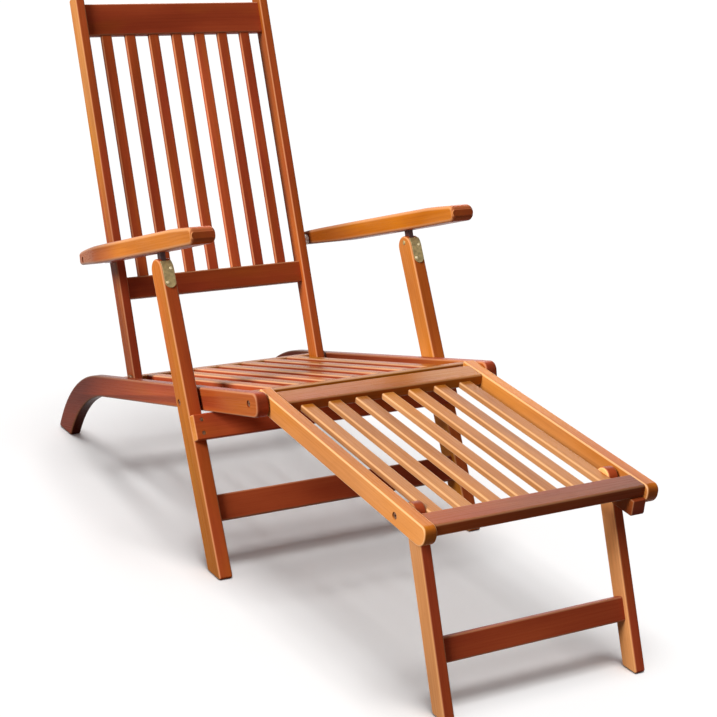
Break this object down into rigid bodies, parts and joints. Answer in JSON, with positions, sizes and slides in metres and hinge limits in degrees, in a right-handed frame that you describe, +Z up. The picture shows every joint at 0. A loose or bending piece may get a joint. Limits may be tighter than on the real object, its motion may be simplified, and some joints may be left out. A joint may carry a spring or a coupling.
{
  "type": "folding deck chair",
  "caption": "Slatted wooden reclining deck chair that folds: curved rear legs, hinged back, parallel arms, front leg frame and a leg-propped footrest.",
  "frame": {"origin": "on the floor, half way along the length and on the middle plane between the sides", "axes": "+Y from the footrest to the back, +X to the right arm as seen from the footrest, +Z up"},
  "size_m": [0.5896, 1.488, 0.9381],
  "materials": {
    "varnished_hardwood": "gloss varnish",
    "brass": "dull",
    "blackened_steel": "satin",
    "zinc_steel": "zinc plated"
  },
  "bodies": {
    "seat": {"seat_rail_left": "varnished_hardwood", "seat_rail_right": "varnished_hardwood", "seat_front_cross_rail": "varnished_hardwood", "seat_rear_cross_rail": "varnished_hardwood", "seat_slat_1": "varnished_hardwood", "seat_slat_2": "varnished_hardwood", "seat_slat_3": "varnished_hardwood", "seat_slat_4": "varnished_hardwood", "seat_slat_5": "varnished_hardwood", "seat_slat_6": "varnished_hardwood", "seat_slat_7": "varnished_hardwood", "back_pivot_pin_left": "zinc_steel", "back_pivot_pin_right": "zinc_steel", "leg_pivot_bolt_left": "zinc_steel", "leg_pivot_bolt_right": "zinc_steel", "footrest_pivot_bolt_left": "zinc_steel", "footrest_pivot_bolt_right": "zinc_steel"},
    "back": {"back_stile_left": "varnished_hardwood", "back_stile_right": "varnished_hardwood", "back_top_rail": "varnished_hardwood", "back_lower_rail": "varnished_hardwood", "back_slat_1": "varnished_hardwood", "back_slat_2": "varnished_hardwood", "back_slat_3": "varnished_hardwood", "back_slat_4": "varnished_hardwood", "back_slat_5": "varnished_hardwood", "back_slat_6": "varnished_hardwood", "back_slat_7": "varnished_hardwood", "arm_pivot_bolt_left": "zinc_steel", "arm_pivot_bolt_right": "zinc_steel"},
    "arm_left": {"armrest_left": "varnished_hardwood", "arm_bracket_left": "blackened_steel"},
    "arm_right": {"armrest_right": "varnished_hardwood", "arm_bracket_right": "blackened_steel"},
    "front_legs": {"front_leg_left": "varnished_hardwood", "front_leg_right": "varnished_hardwood", "front_leg_crossbar": "varnished_hardwood", "front_leg_stretcher": "varnished_hardwood", "hinge_strap_left": "brass", "hinge_strap_right": "brass", "hinge_pin_left": "brass", "hinge_pin_right": "brass"},
    "footrest": {"footrest_rail_left": "varnished_hardwood", "footrest_rail_right": "varnished_hardwood", "footrest_rear_board": "varnished_hardwood", "footrest_front_board": "varnished_hardwood", "footrest_slat_1": "varnished_hardwood", "footrest_slat_2": "varnished_hardwood", "footrest_slat_3": "varnished_hardwood", "footrest_slat_4": "varnished_hardwood", "footrest_slat_5": "varnished_hardwood", "footrest_slat_6": "varnished_hardwood", "footrest_slat_7": "varnished_hardwood", "footrest_stop_block": "varnished_hardwood", "footrest_leg_bolt_left": "zinc_steel", "footrest_leg_bolt_right": "zinc_steel"},
    "footrest_legs": {"footrest_leg_left": "varnished_hardwood", "footrest_leg_right": "varnished_hardwood", "footrest_leg_stretcher": "varnished_hardwood"}
  },
  "joints": [
    {"name": "back_fold", "type": "hinge", "parent": "seat", "child": "back", "pos_m": [0, 0.40827, 0.204], "axis": [1, 0, 0], "range_deg": [0, 90]},
    {"name": "front_leg_fold", "type": "hinge", "parent": "seat", "child": "front_legs", "pos_m": [0, 0.04477, 0.2785], "axis": [1, 0, 0], "range_deg": [0, 90]},
    {"name": "arm_left_swing", "type": "hinge", "parent": "back", "child": "arm_left", "pos_m": [0, 0.51777, 0.4343], "axis": [1, 0, 0], "range_deg": [-90, 0]},
    {"name": "arm_right_swing", "type": "hinge", "parent": "back", "child": "arm_right", "pos_m": [0, 0.51777, 0.4343], "axis": [1, 0, 0], "range_deg": [-90, 0]},
    {"name": "footrest_fold", "type": "hinge", "parent": "seat", "child": "footrest", "pos_m": [0, -0.16923, 0.3395], "axis": [1, 0, 0], "range_deg": [-20, 55]},
    {"name": "footrest_leg_fold", "type": "hinge", "parent": "footrest", "child": "footrest_legs", "pos_m": [0, -0.61532, 0.2971], "axis": [1, 0, 0], "range_deg": [0, 112]}
  ],
  "couplings": [
    {"joint": "front_leg_fold", "follows": "back_fold", "ratio": 1},
    {"joint": "arm_left_swing", "follows": "back_fold", "ratio": -1},
    {"joint": "arm_right_swing", "follows": "back_fold", "ratio": -1}
  ]
}
